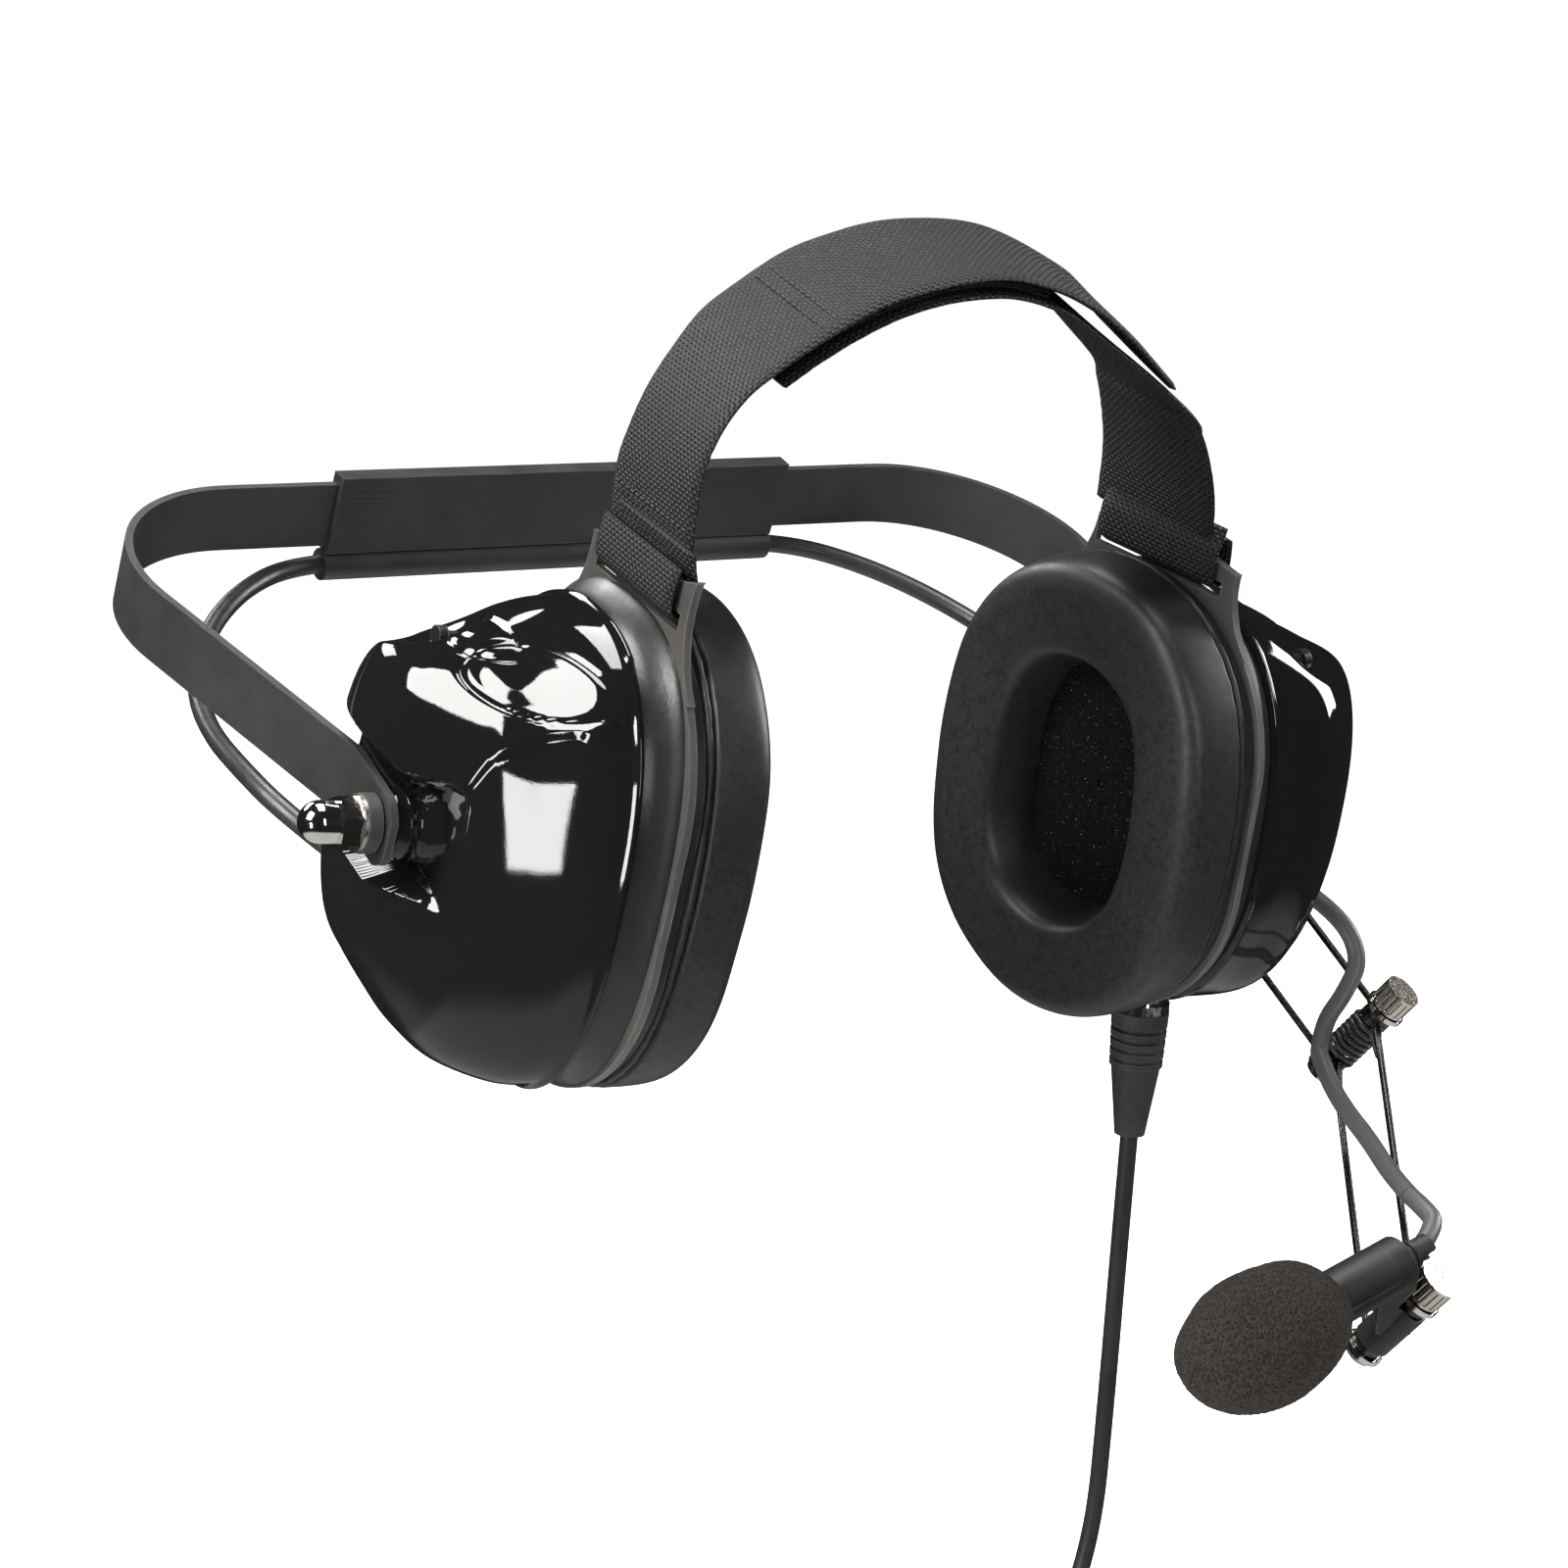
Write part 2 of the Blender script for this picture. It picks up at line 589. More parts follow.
def oval_groove(v, w, centre, radii, turn):
    """1 in a thin closed groove round an oval, else 0."""
    c = math.cos(turn)
    s = math.sin(turn)
    dv = v - centre[0]
    dw = w - centre[1]
    reach = np.hypot((dv * c + dw * s) / radii[0], (-dv * s + dw * c) / radii[1])
    gap = (reach - 1) * radii[1]
    return np.exp(-(gap / 0.34) ** 2) - 0.35 * np.exp(-((gap + 0.9) / 0.5) ** 2)


def shell_points(side, rings, around):
    """The moulding's surface, found along rays that fan out from its foot."""
    table = smooth_path(SHELL_SECTIONS, 24)
    origin = np.array([27.0, -3.0, -1.0])
    pole = np.array([36.9, -14.0, 4.0])
    pole = pole / np.linalg.norm(pole)
    angles = np.linspace(0, 2 * math.pi, around, endpoint=False)
    rim = np.stack([np.zeros(around), np.cos(angles), np.sin(angles)], axis=1)
    turn = np.linspace(0, 1, rings)[:, None, None] * math.pi / 2
    rays = rim[None] * np.cos(turn) + pole * np.sin(turn)
    rays = rays / np.linalg.norm(rays, axis=-1, keepdims=True)
    near = np.full(rays.shape[:2], 3.0)
    far = np.full(rays.shape[:2], SHELL_REACH)
    found = np.full(rays.shape[:2], False)
    previous = SHELL_REACH
    for reach in np.linspace(SHELL_REACH, 4, 110)[1:]:
        fresh = (shell_field(origin + rays * reach, side, table) < 0) & ~found
        near = np.where(fresh, reach, near)
        far = np.where(fresh, previous, far)
        found |= fresh
        previous = reach
    for _ in range(14):
        middle = (near + far) / 2
        inside = shell_field(origin + rays * middle[..., None], side, table) < 0
        near = np.where(inside, middle, near)
        far = np.where(inside, far, middle)
    return origin + rays * near[..., None], rays


def make_shell(prefix, side):
    rings = 240
    around = 380
    points, rays = shell_points(side, rings, around)
    v = points[..., 1]
    w = points[..., 2]
    groove = sum(oval_groove(v, w, *oval) for oval in OVALS)
    points = points - rays * (0.42 * groove)[..., None]
    under = points[0] * np.array([0, 0.93, 0.93]) + np.array([27.05, 0, 0])
    flat = np.concatenate([under, *points[:-1]]).tolist()
    faces = grid_faces(rings, around)
    flat.append(points[-1].mean(axis=0).tolist())
    last_row = (rings - 1) * around
    for column in range(around):
        faces.append((last_row + column, last_row + (column + 1) % around, len(flat) - 1))
    made = finish_mesh(f"{prefix}_shell_visual", flat, faces, "shell", "cups", cup_matrix(side))
    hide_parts(f"{prefix}_ear_shell")


def oval_ring(section, around):
    u, centre_v, centre_w, half_v, half_w = section
    ring = []
    for step in range(around):
        c = math.cos(2 * math.pi * step / around)
        s = math.sin(2 * math.pi * step / around)
        ring.append((u, centre_v + half_v * math.copysign(abs(c) ** (2 / SHELL_POWER), c),
                     centre_w + half_w * math.copysign(abs(s) ** (2 / SHELL_POWER), s)))
    return ring


def make_collar(prefix, side):
    """The dished satin collar that the glossy moulding stands on."""
    around = 200
    sections = smooth_path(COLLAR_SECTIONS, 8)
    verts = []
    for section in sections:
        verts += oval_ring(section, around)
    inner = [(u, v, w, a - 2.2, b - 2.2) for u, v, w, a, b in sections[::-1]]
    for section in inner:
        verts += oval_ring(section, around)
    faces = grid_faces(2 * len(sections), around)
    made = finish_mesh(f"{prefix}_collar_visual", verts, faces, "collar", "cups", cup_matrix(side))
    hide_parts(f"{prefix}_cup_collar")


def lathe(name, profile, side, material, body, across=0.0, up=0.0, around=48):
    """Turn (u, radius) points about a line along u."""
    verts = []
    for u, radius in profile:
        for step in range(around):
            angle = 2 * math.pi * step / around
            verts.append((u, across + radius * math.cos(angle), up + radius * math.sin(angle)))
    faces = grid_faces(len(profile), around)
    return finish_mesh(name, verts, faces, material, body, cup_matrix(side))


def make_neck(prefix, side):
    """The stepped boss under the band's pivot."""
    profile = [(49, 7.6), (53.0, 7.6), (53.2, 7.2), (54.4, 7.2), (54.6, 6.6), (57.4, 6.6),
               (57.6, 6.9), (58.4, 6.9), (58.6, 6.5), (60.4, 6.5), (60.7, 6.2), (60.8, 3)]
    neck = lathe(f"{prefix}_shell_neck", profile, side, "shell", "cups", side * STUD_ACROSS)


# ------------------------------------------------------------------ ear seals

# Rings of the cushion, from the bottom of its opening, over the face and down the outer side:
# u, end radius, half the straight side.
SEAL_RINGS = [
    (15.6, 17.6, 9.3), (12, 18.1, 9.4), (8, 18.9, 9.5), (4.6, 19.6, 9.6), (2.3, 20.3, 9.8),
    (0.9, 21.6, 10),
    (0.2, 23.8, 10.5), (0, 27, 11.1), (0.05, 30.5, 11.7), (0.2, 33.2, 12.1), (0.7, 35.3, 12.4),
    (1.7, 36.8, 12.5), (3.2, 37.7, 12.5), (5.5, 38.2, 12.5), (9, 38.5, 12.5), (12.6, 38.6, 12.5),
    (13.4, 38.5, 12.5), (13.8, 37.9, 12.5), (14.1, 37.5, 12.5), (14.4, 38.1, 12.5),
    (15, 38.4, 12.5), (15.5, 38.2, 12.5), (15.95, 37.2, 12.5),
]


def stadium_point(radius, half, angle):
    """A smooth oval: half circles joined by nearly straight sides."""
    lift = math.tanh(2.4 * math.sin(angle)) / math.tanh(2.4)
    return radius * math.cos(angle), radius * math.sin(angle) + half * lift


def make_seal(prefix, side):
    rings = smooth_path(SEAL_RINGS, 5)
    around = 220
    verts = []
    for u, radius, half in rings:
        for step in range(around):
            angle = 2 * math.pi * step / around
            v, w = stadium_point(radius, half, angle)
            swell = noise.noise(Vector((u * 0.09, v * 0.05, w * 0.05)))
            pucker = math.sin(angle * 46) * 0.1 * math.exp(-((u - 14.0) / 1.3) ** 2)
            face = math.exp(-((u - 2) / 5) ** 2)
            verts.append((max(u + 0.45 * swell * face, 0.0), v + pucker * math.cos(angle),
                          w + pucker * math.sin(angle)))
    faces = grid_faces(len(rings), around)
    made = finish_mesh(f"{prefix}_seal_visual", verts, faces, "leather", "cups", cup_matrix(side))
    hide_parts(f"{prefix}_ear_seal")


INSERT_FACE = 14.2
INSERT_BACK = 15.75
INSERT_SIZE = (19.0, 9.4)


def make_insert(prefix, side):
    """The foam disc over the loudspeaker, slightly dished, its cells standing proud."""
    rings = 40
    around = 150
    length, width = INSERT_SIZE
    verts = [(INSERT_FACE, 0, 0)]
    for ring in range(1, rings + 1):
        for step in range(around):
            angle = 2 * math.pi * step / around
            v, w = stadium_point(length * ring / rings, width * ring / rings, angle)
            cells = noise.noise(Vector((v, w, side)) * 1.7) * 0.14
            verts.append((INSERT_FACE - 0.5 * (ring / rings) ** 2 + cells, v, w))
    back = len(verts)
    for step in range(around):
        v, w = stadium_point(length, width, 2 * math.pi * step / around)
        verts.append((INSERT_BACK, v, w))
    faces = [(0, 1 + step, 1 + (step + 1) % around) for step in range(around)]
    for ring in range(rings):
        start = 1 + ring * around if ring < rings - 1 else back - around
        after = start + around
        for step in range(around):
            other = (step + 1) % around
            faces.append((start + step, start + other, after + other, after + step))
    made = finish_mesh(f"{prefix}_insert_visual", verts, faces, "insert", "cups", cup_matrix(side))
    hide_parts(f"{prefix}_foam_insert")


# ------------------------------------------------------------------ head strap

STRAP_TILT = math.radians(11)
STRAP_Y = -8
STRAP_Z = 62.5
STRAP_HALF = 17
STRAP_THICK = 1.5
OUTER_STATIONS = [
    (-61.8, -3.6, -65.4, -3.6), (-62.2, 7.5, -66.3, 8), (-60.7, 15, -66.4, 16),
    (-58, 23, -64.3, 24),
    (-53.5, 31, -59.6, 31.4), (-48.4, 38, -53.5, 36.4), (-41.3, 43.5, -45.5, 41.8),
    (-31.7, 49.4, -35.5, 47.3), (-22.4, 53, -26, 51), (-9.8, 55.9, -13.6, 53.8),
    (2.2, 56.6, -1, 54.3),
    (15, 55.2, 11.2, 52.2), (26.5, 52, 22, 47.9), (37.8, 47.2, 32.5, 41.6), (44, 43.2, 38.8, 37.1),
    (50.5, 38, 46, 31.8),
]
INNER_FREE = [
    (62.9, -3.6, 66.3, -3.4), (61.6, 7, 63.8, 7), (59, 15.5, 60.4, 15), (55.4, 23.3, 56.4, 21.5),
    (50.6, 29.8, 51.2, 26.8),
]
LAYER_DEPTH = 3.6
PATCH_THICK = 0.8


def inward(stations, depth):
    moved = []
    for index, station in enumerate(stations):
        before = stations[max(index - 1, 0)]
        after = stations[min(index + 1, len(stations) - 1)]
        run_x = after[0] + after[2] - before[0] - before[2]
        run_z = after[1] + after[3] - before[1] - before[3]
        length = math.hypot(run_x, run_z)
        step_x = run_z / length * depth
        step_z = -run_x / length * depth
        moved.append((station[0] + step_x, station[1] + step_z, station[2] + step_x,
                      station[3] + step_z))
    return moved


def strap_point(x, z, rearward):
    """A point of the strap's tilted plane, in metres."""
    tilted = Matrix.Rotation(STRAP_TILT, 3, "X") @ Vector((x, rearward, z))
    return (tilted + Vector((0, STRAP_Y, STRAP_Z))) * MM


def make_webbing(name, stations, depth, thickness, half_width, material, seed):
    """A strip with rounded selvedges, gentle waviness and cloth UVs in metres."""
    path = smooth_path(inward(stations, depth), 7)
    low = smooth_path(inward(stations, depth + thickness), 7)
    columns = 18
    verts = []
    uvs = []
    run = 0.0
    before = None
    for top_row, low_row in zip(path, low):
        middle = (top_row[:2] + top_row[2:]) / 2
        run += 0.0 if before is None else float(np.linalg.norm(middle - before))
        before = middle
        ring = []
        for row, other, order in ((top_row, low_row, range(columns + 1)),
                                  (low_row, top_row, range(columns, -1, -1))):
            for column in order:
                t = column / columns
                edge = abs(2 * t - 1)
                x = row[0] * (1 - t) + row[2] * t
                z = row[1] * (1 - t) + row[3] * t
                pinch = 0.42 * thinned_edge(edge)
                x += (other[0] * (1 - t) + other[2] * t - x) * pinch
                z += (other[1] * (1 - t) + other[3] * t - z) * pinch
                wobble = noise.noise(Vector((run * 0.05, t * 1.5, seed))) * 0.45
                ragged = noise.noise(Vector((run * 0.9, seed, t))) * 0.16 * edge ** 8
                across = half_width * (1 - 2 * t) * (1 + ragged / half_width)
                ring.append((strap_point(x, z + wobble, across), (across * MM, run * MM)))
        verts += [item[0] for item in ring]
        uvs += [item[1] for item in ring]
    count = 2 * (columns + 1)
    faces = close_strip(grid_faces(len(path), count), len(path), count)
    return finish_mesh(name, verts, faces, material, "cups", uvs=uvs), run


# The webbing's path round the hanger's bar, in (u, w).
LOOP_PATH = [(21.0, 60.5), (21.4, 58.2), (21.6, 55), (21.3, 52.2), (20.2, 50.9), (18.4, 50.9),
             (17.4, 52.2), (17.1, 55), (17.3, 58.2), (18.1, 60.5), (18.9, 63.5)]
LOOP_HALF_THICK = 0.62
LOOP_INSET = 0.4
TAB_OFFSET = 1.5


def close_strip(faces, rows, count):
    """Adds the two end faces of a strip that is made of closed rings."""
    faces.append(tuple(range(count))[::-1])
    faces.append(tuple((rows - 1) * count + k for k in range(count)))
    return faces


def thinned_edge(edge):
    """0 over the webbing's width, rising to 1 in the rounded selvedge."""
    return max(0.0, (edge - 0.86) / 0.14) ** 2


def make_loop(prefix, side):
    """The doubled end of the strap, sewn round the bar."""
    path = smooth_path(LOOP_PATH, 5)
    columns = 16
    half = STRAP_HALF - LOOP_INSET
    verts = []
    uvs = []
    run = 0.0
    for index, (u, w) in enumerate(path):
        before = path[max(index - 1, 0)]
        after = path[min(index + 1, len(path) - 1)]
        run += float(np.linalg.norm(path[index] - before))
        direction = (after - before) / np.linalg.norm(after - before)
        normal = np.array([direction[1], -direction[0]])
        ring = []
        for layer, order in ((LOOP_HALF_THICK, range(columns + 1)),
                             (-LOOP_HALF_THICK, range(columns, -1, -1))):
            for column in order:
                t = column / columns
                edge = abs(2 * t - 1)
                shift = layer * (1 - 0.75 * thinned_edge(edge))
                across = half * (1 - 2 * t) - side * TAB_OFFSET
                ring.append(((u + normal[0] * shift, across, w + normal[1] * shift),
                             (across * MM, run * MM)))
        verts += [item[0] for item in ring]
        uvs += [item[1] for item in ring]
    count = 2 * (columns + 1)
    faces = close_strip(grid_faces(len(path), count), len(path), count)
    made = finish_mesh(f"{prefix}_strap_loop", verts, faces, "webbing", "cups", cup_matrix(side),
                       uvs)


def make_stitches(name, row, spacing=2.1, thread=0.22):
    """A row of short thread stitches lying on the webbing between two points, in metres."""
    start, end, lift = row
    run = end - start
    count = int(run.length / (spacing * MM))
    verts = []
    faces = []
    for index in range(count):
        a = start + run * ((index + 0.15) / count)
        b = start + run * ((index + 0.8) / count)
        side = run.normalized().cross(lift).normalized() * (thread * MM)
        base = len(verts)
        for t in (0, 0.25, 0.5, 0.75, 1):
            centre = a.lerp(b, t) + lift * (thread * 1.4 * MM * math.sin(math.pi * t))
            for angle in range(6):
                c = math.cos(angle * math.pi / 3)
                s = math.sin(angle * math.pi / 3)
                verts.append(centre + side * c + lift * (thread * MM * s))
        for ring in range(4):
            for k in range(6):
                first = base + ring * 6 + k
                after = base + ring * 6 + (k + 1) % 6
                faces.append((first, after, after + 6, first + 6))
    made = finish_mesh(name, verts, faces, "thread", "cups")


def strap_row(stations, place, margin):
    """Start, end and outward direction of a row of stitches across the webbing at a station."""
    path = smooth_path(stations, 7)
    row = path[place]
    after = path[place + 1]
    t = margin / (2 * STRAP_HALF)
    ends = []
    for share, rearward in ((t, STRAP_HALF - margin), (1 - t, margin - STRAP_HALF)):
        ends.append(strap_point(row[0] * (1 - share) + row[2] * share,
                                row[1] * (1 - share) + row[3] * share, rearward))
    run = strap_point(after[0], after[1], 0) - strap_point(row[0], row[1], 0)
    outward = run.cross(ends[1] - ends[0]).normalized()
    if outward.z < 0:
        outward = -outward
    return ends[0], ends[1], outward


def make_strap():
    outer, outer_run = make_webbing("strap_outer_visual", OUTER_STATIONS, 0, STRAP_THICK,
                                    STRAP_HALF, "webbing", 1.0)
    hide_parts("strap_right_half")
    under = inward(OUTER_STATIONS, LAYER_DEPTH)[5:13]
    inner_path = INNER_FREE + under[::-1]
    inner, inner_run = make_webbing("strap_inner_visual", inner_path, 0, -STRAP_THICK, STRAP_HALF,
                                    "webbing", 5.0)
    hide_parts("strap_left_half")
    covered = OUTER_STATIONS[6:12]
    for node, depth in (("strap_hook_patch", 1.65), ("strap_loop_patch", 2.6)):
        patch, _ = make_webbing(node + "_visual", covered, depth, PATCH_THICK, STRAP_HALF - 3,
                                "tape", depth)
        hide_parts(node)
    for prefix, side in SIDES.items():
        make_loop(prefix, side)
    for index, place in enumerate((44, 46)):
        make_stitches(f"strap_stitches_{index}", strap_row(OUTER_STATIONS, place, 3))
    for index, place in enumerate((8, 9)):
        make_stitches(f"right_fold_stitches_{index}", strap_row(OUTER_STATIONS, place - 4, 2))


# ------------------------------------------------------------------ cables beside the band

CABLE_RADIUS = 2.1
LEAD_RADIUS = 2.0
BAND_BACK = Vector((0, 118, 43))


def band_point(across, depth, up):
    """A point of the neckband's tilted plane, in metres."""
    stud = cup_point(LEFT, STUD_MIDDLE, STUD_ACROSS, 0) / MM
    tilt = math.atan2(BAND_BACK.z - stud.z, BAND_BACK.y - stud.y)
    turned = Matrix.Rotation(tilt, 3, "X") @ Vector((across, depth, up))
    return (turned + BAND_BACK) * MM


CABLE_ROUTE = {
    RIGHT: [(59.5, 3.6, -12.5), (68, 3.0, -12.8), (79, -2, -13.6), (90, -10.5, -15),
            (100, -22.5, -16.8),
            (107.5, -37, -18), (111.5, -53, -18), (112.3, -69, -16.8), (110.5, -83, -17.4)],
    LEFT: [(59.5, 3.6, -12.5), (68, 2.4, -12.8), (80, -4.5, -13.6), (91, -14.5, -15),
           (100, -27, -16.8),
           (105.5, -42, -18), (106.5, -58, -18.5), (103, -73, -18.5), (96, -86, -19)],
}
CABLE_ENTRY = {RIGHT: (57.3, 25.5, -17), LEFT: (40.5, 24.5, -17)}


def as_mesh(curve_object):
    """The curve's tube as a mesh, so that it can bend between two bodies."""
    bpy.context.view_layer.update()
    mesh = bpy.data.meshes.new_from_object(curve_object)
    made = bpy.data.objects.new(curve_object.name + "_tube", mesh)
    bpy.context.collection.objects.link(made)
    bpy.data.objects.remove(curve_object)
    mesh.polygons.foreach_set("use_smooth", [True] * len(mesh.polygons))
    return made


def make_cable(prefix, side):
    route = [band_point(side * across, depth, up) for across, depth, up in CABLE_ROUTE[side]]
    route.append(cup_point(side, *CABLE_ENTRY[side]))
    tube = as_mesh(cord_curve(f"{prefix}_crossover_cable", route, CABLE_RADIUS, "jacket"))
    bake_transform(tube)
    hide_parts(f"{prefix}_crossover_cable_end")


# ------------------------------------------------------------------ boom

ELBOW = Vector((123.8, -21.7, -56.8))
CLAMP = Vector((73.6, -88.8, -91.9))
UPPER = Vector((0.134, -0.778, -0.614)).normalized()
HINGE = (CLAMP - ELBOW).normalized().cross(UPPER).normalized()
GLAND = Vector((77.1, -92.9, -74.8))
FOAM_CENTRE = Vector((34.2, -92.9, -86.7))
MIC_AXIS = (FOAM_CENTRE - GLAND).normalized()
LEAD_GLAND = Vector((57.5, -20, -24))
LEAD_GLAND_AXIS = Vector((0.9, -0.25, -0.35)).normalized()


def frame_on(axis, forward):
    z = axis.normalized()
    x = (forward - z * forward.dot(z)).normalized()
    return x, z.cross(x), z


def make_spring():
    """The real coil: a wire helix whose two ends hook on to the lower wires."""
    x, y, z = frame_on(HINGE, CLAMP - ELBOW)
    turns = 7
    half = 5.4
    radius = 3.7
    points = []
    for step in range(turns * 12 + 1):
        angle = 2 * math.pi * step / 12
        along = -half + 2 * half * step / (turns * 12)
        points.append(ELBOW + (x * math.cos(angle) + y * math.sin(angle)) * radius + z * along)
    hook = (CLAMP - ELBOW).normalized()
    first = ELBOW - z * half + x * radius
    last = ELBOW + z * half + x * radius
    tail_low = [first + hook * 9 - z * 1.0, first + hook * 5 - z * 0.4]
    tail_high = [last + hook * 5 + z * 0.4, last + hook * 9 + z * 1.0]
    spring = as_mesh(cord_curve("elbow_spring_coil", mm_points(tail_low + points + tail_high), 0.62,
                                "blackmetal"))
    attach(spring, "boom_upper")
    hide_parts("elbow_spring")


FOAM_HALF_LENGTH = 19.5
FOAM_RADIUS = 13.5
FOAM_MOUTH_RADIUS = 6.0
FOAM_MOUTH_TURN = 0.145


def make_windscreen():
    """Open-cell foam egg with a rounded mouth at the housing."""
    x, y, z = frame_on(MIC_AXIS, Vector((0, 0, 1)))
    rings = 90
    around = 120
    verts = []
    for ring in range(rings + 1):
        angle = math.pi * (FOAM_MOUTH_TURN + (1 - FOAM_MOUTH_TURN) * ring / rings)
        along = -math.cos(angle) * FOAM_HALF_LENGTH
        radius = math.sin(angle) ** 0.94 * FOAM_RADIUS
        for step in range(around):
            turn = 2 * math.pi * step / around
            point = (x * math.cos(turn) + y * math.sin(turn)) * max(radius, 0.01) + z * along
            lump = noise.noise(point * 0.14) * 0.35 + noise.noise(point * 1.9) * 0.16
            verts.append((FOAM_CENTRE + point * (1 + lump / FOAM_RADIUS)) * MM)
    mouth = []
    for shrink, depth in ((0.93, 0.9), (0.93, 4.0)):
        for step in range(around):
            turn = 2 * math.pi * step / around
            start = -math.cos(math.pi * FOAM_MOUTH_TURN) * FOAM_HALF_LENGTH
            point = (x * math.cos(turn) + y * math.sin(turn)) * FOAM_MOUTH_RADIUS * shrink
            point += z * (start + depth)
            mouth.append((FOAM_CENTRE + point) * MM)
    verts = mouth[around:] + mouth[:around] + verts
    faces = grid_faces(rings + 3, around)
    made = finish_mesh("windscreen_visual", verts, faces, "windscreen", "windscreen")
    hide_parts("mic_windscreen")


LEAD_UPPER = [(118.4, -18.6, -28.5), (121.0, -24.0, -37.5), (116.5, -24.5, -45.0),
              (111.0, -24.0, -51.5), (108.0, -27.0, -57.0)]
LEAD_MIDDLE = [(108.0, -27.0, -57.0), (105.5, -32.8, -60.8), (101.8, -42.5, -64.3),
               (95.5, -56.5, -66.0), (88.6, -70.5, -68.6), (85.2, -79.5, -69.6)]
LEAD_END = [(85.2, -79.5, -69.6), (83.8, -85.0, -70.3), (82.6, -90.0, -72.0)]


def make_lead():
    exit_point = cup_matrix(LEFT) @ (LEAD_GLAND + LEAD_GLAND_AXIS * 5)
    upper = [exit_point] + mm_points(LEAD_UPPER)
    middle = mm_points(LEAD_MIDDLE)
    end = mm_points(LEAD_END + [tuple(GLAND + MIC_AXIS * 3)])
    for name, route, first, second, node in (
            ("lead_upper", upper, "cups", "boom_upper", "mic_lead_upper"),
            ("lead_middle", middle, "boom_upper", "boom_lower", "mic_lead_middle"),
            ("lead_end", end, "boom_lower", "microphone", "mic_lead_end")):
        tube = as_mesh(cord_curve(name, route, LEAD_RADIUS, "lead"))
        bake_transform(tube)
        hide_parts(node)


# ------------------------------------------------------------------ materials on the CAD nodes

def dress_nodes():
    for name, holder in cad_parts.items():
        short = name
        for prefix in ("left_", "right_"):
            if name.startswith(prefix):
                short = name[len(prefix):]
        key = NODE_MATERIALS.get(short)
        if key is None:
            continue
        holder.data.materials.clear()
        holder.data.materials.append(MATERIALS[key])
    for node, width in (("neckband", 0.35), ("band_sleeve", 0.6), ("left_hanger_plate", 0.45),
                        ("right_hanger_plate", 0.45), ("boom_bracket", 0.3)):
        bevel_edges(node, width)


# ------------------------------------------------------------------ stage and light

def area_light(name, place, target, size_x, size_y, power, colour=(1, 1, 1)):
    data = bpy.data.lights.new(name, "AREA")
    data.shape = "RECTANGLE"
    data.size = size_x
    data.size_y = size_y
    data.energy = power
    data.color = colour
    light = bpy.data.objects.new(name, data)
    direction = Vector(target) - Vector(place)
    facing = direction.to_track_quat("-Z", "Y").to_matrix().to_4x4()
    light.matrix_world = Matrix.Translation(place) @ facing
    bpy.context.collection.objects.link(light)


def make_stage():
    """A plain pale floor, far enough down to clear the hanging plug."""
    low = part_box("far_plug")[0][2] - 0.03
    verts = []
    rings = 24
    around = 64
    for ring in range(rings + 1):
        for step in range(around):
            angle = 2 * math.pi * step / around
            radius = 0.02 + 3.5 * (ring / rings) ** 2
            verts.append((radius * math.cos(angle), radius * math.sin(angle), low))
    mesh = bpy.data.meshes.new("floor")
    mesh.from_pydata(verts, [], grid_faces(rings + 1, around) + [tuple(range(around))])
    floor = bpy.data.objects.new("floor", mesh)
    bpy.context.collection.objects.link(floor)
    n = Nodes("floor_paper")
    place = n.place()
    n.set(Base_Color=n.mix(n.noise(place, 3, 3), (0.93, 0.93, 0.925), (0.955, 0.955, 0.95)),
          Roughness=0.8)
    n.set(Emission_Color=(1, 1, 1, 1), Emission_Strength=0.8)
    mesh.materials.append(n.material)
    floor.visible_glossy = False


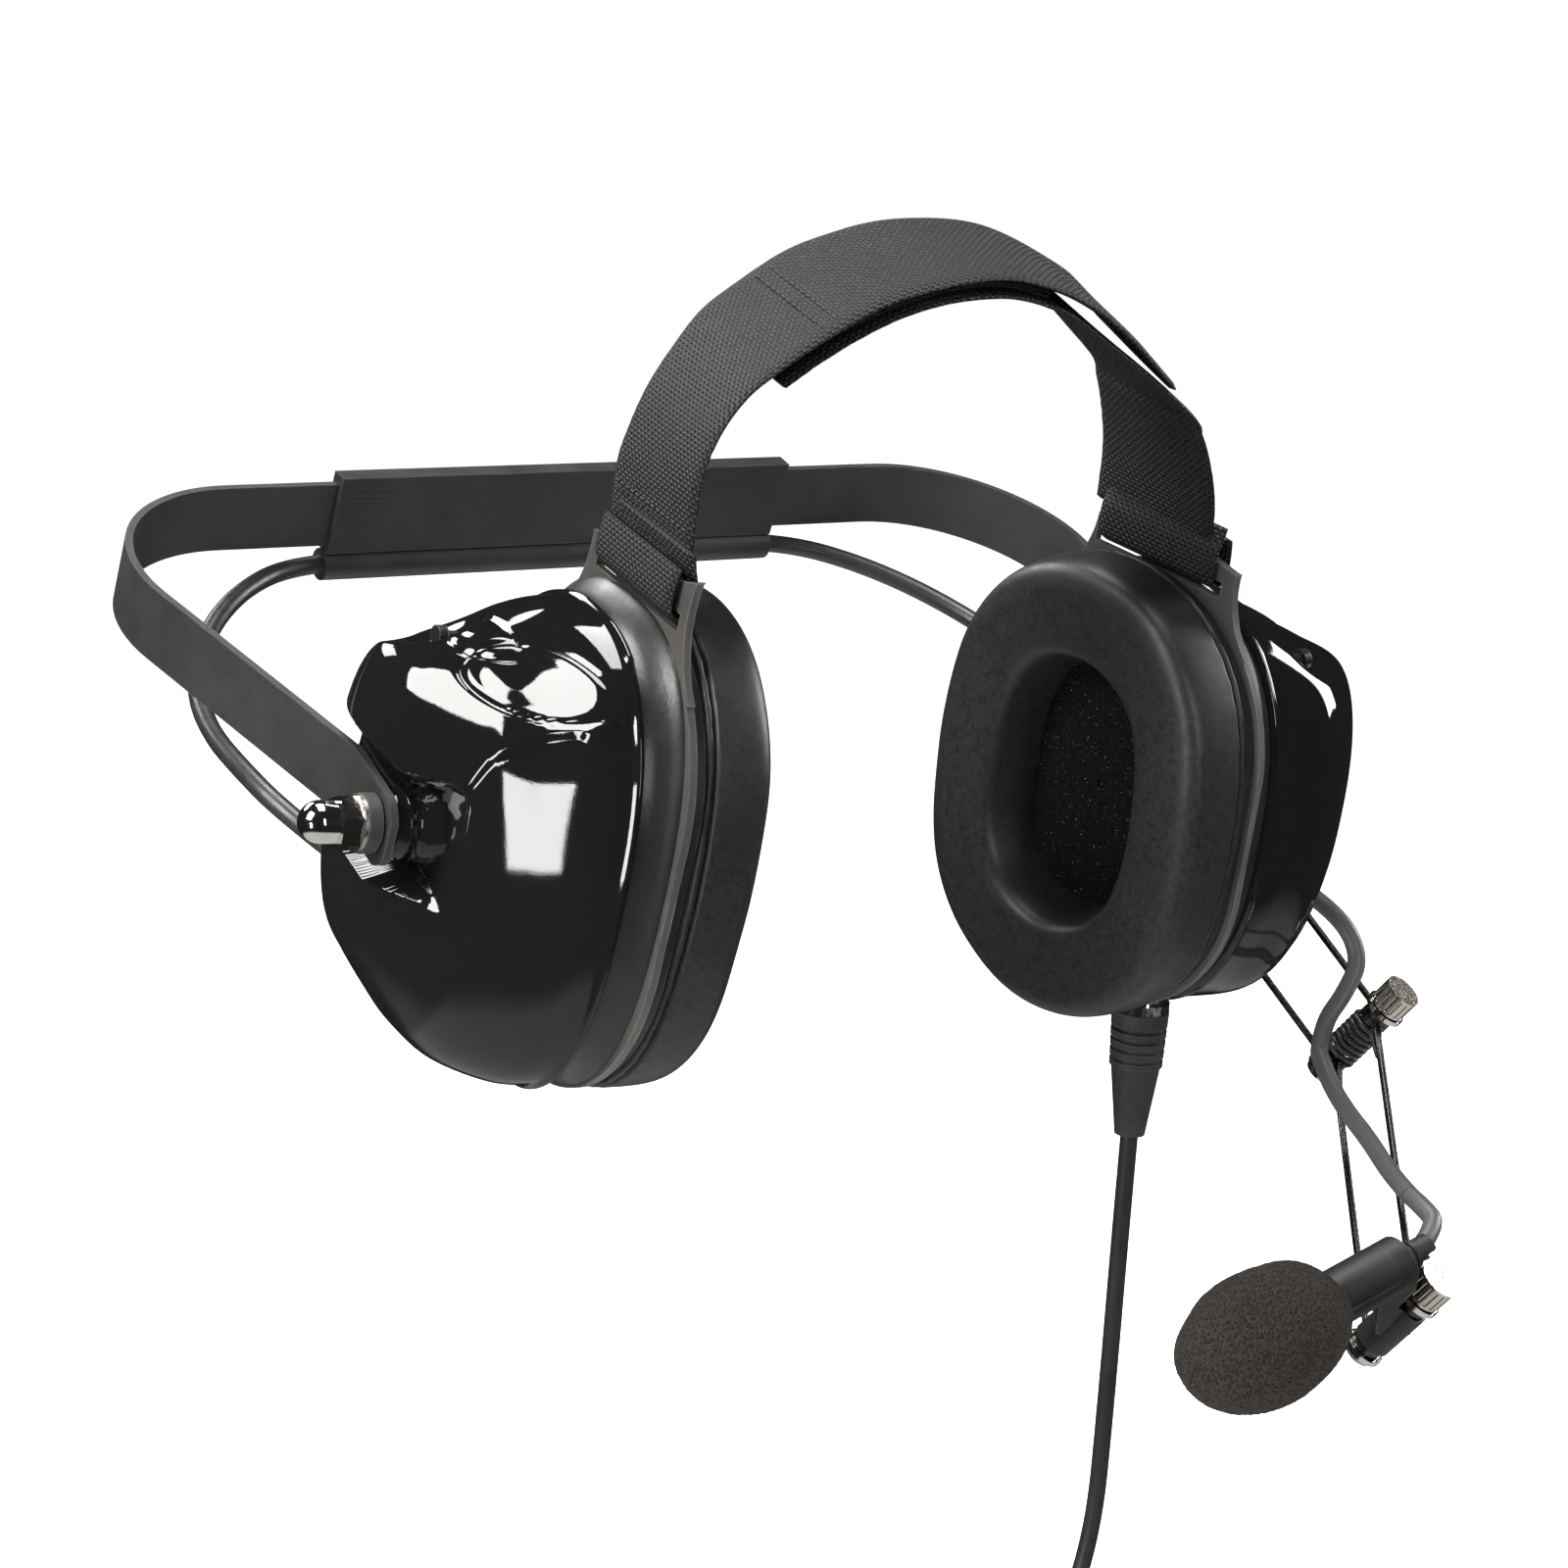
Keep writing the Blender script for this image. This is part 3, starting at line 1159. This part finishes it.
def make_world():
    """Seen straight, the studio is white; in reflections it is dark above and pale below."""
    world = bpy.data.worlds.new("studio")
    bpy.context.scene.world = world
    world.use_nodes = True
    tree = world.node_tree
    background = tree.nodes["Background"]
    path = tree.nodes.new("ShaderNodeLightPath")
    where = tree.nodes.new("ShaderNodeTexCoord")
    height = tree.nodes.new("ShaderNodeSeparateXYZ")
    below = tree.nodes.new("ShaderNodeMapRange")
    below.inputs["From Min"].default_value = -0.72
    below.inputs["From Max"].default_value = -0.60
    below.inputs["To Min"].default_value = 0.55
    below.inputs["To Max"].default_value = 0.015
    tree.links.new(where.outputs["Generated"], height.inputs[0])
    tree.links.new(height.outputs["Z"], below.inputs["Value"])
    mirrored = tree.nodes.new("ShaderNodeMix")
    mirrored.inputs[2].default_value = 0.3
    tree.links.new(below.outputs[0], mirrored.inputs[3])
    seen = tree.nodes.new("ShaderNodeMix")
    seen.inputs[3].default_value = 1.0
    tree.links.new(path.outputs["Is Glossy Ray"], mirrored.inputs[0])
    tree.links.new(path.outputs["Is Camera Ray"], seen.inputs[0])
    tree.links.new(mirrored.outputs[0], seen.inputs[2])
    tree.links.new(seen.outputs[0], background.inputs["Strength"])
    background.inputs["Color"].default_value = (1, 1, 1, 1)


def make_light():
    make_world()
    area_light("left_high", (-1.06, 0.02, 0.66), (-0.06, 0, 0.03), 0.5, 0.74, 26, (1, 0.99, 0.97))
    area_light("overhead", (0.03, 0.12, 1.15), (0, 0, 0), 0.5, 0.9, 22)
    area_light("left_low", (-0.71, -0.19, -0.075), (-0.05, 0, 0), 0.085, 0.26, 1.4)
    area_light("right", (1.1, -0.2, 0.38), (0.1, 0, 0), 0.3, 0.5, 9)
    area_light("front", (-0.1, -1.4, 0.33), (0, 0, 0), 0.12, 0.7, 5)
    area_light("back", (-0.3, 1.2, 0.8), (0, 0, 0), 0.8, 0.4, 12)
    bpy.context.scene.view_settings.view_transform = "Standard"
    bpy.context.scene.view_settings.look = "None"


for cup_prefix, cup_side in SIDES.items():
    make_shell(cup_prefix, cup_side)
    make_collar(cup_prefix, cup_side)
    make_neck(cup_prefix, cup_side)
    make_insert(cup_prefix, cup_side)
    make_seal(cup_prefix, cup_side)
    make_cable(cup_prefix, cup_side)
make_strap()
make_spring()
make_windscreen()
make_lead()
dress_nodes()
make_stage()
make_light()
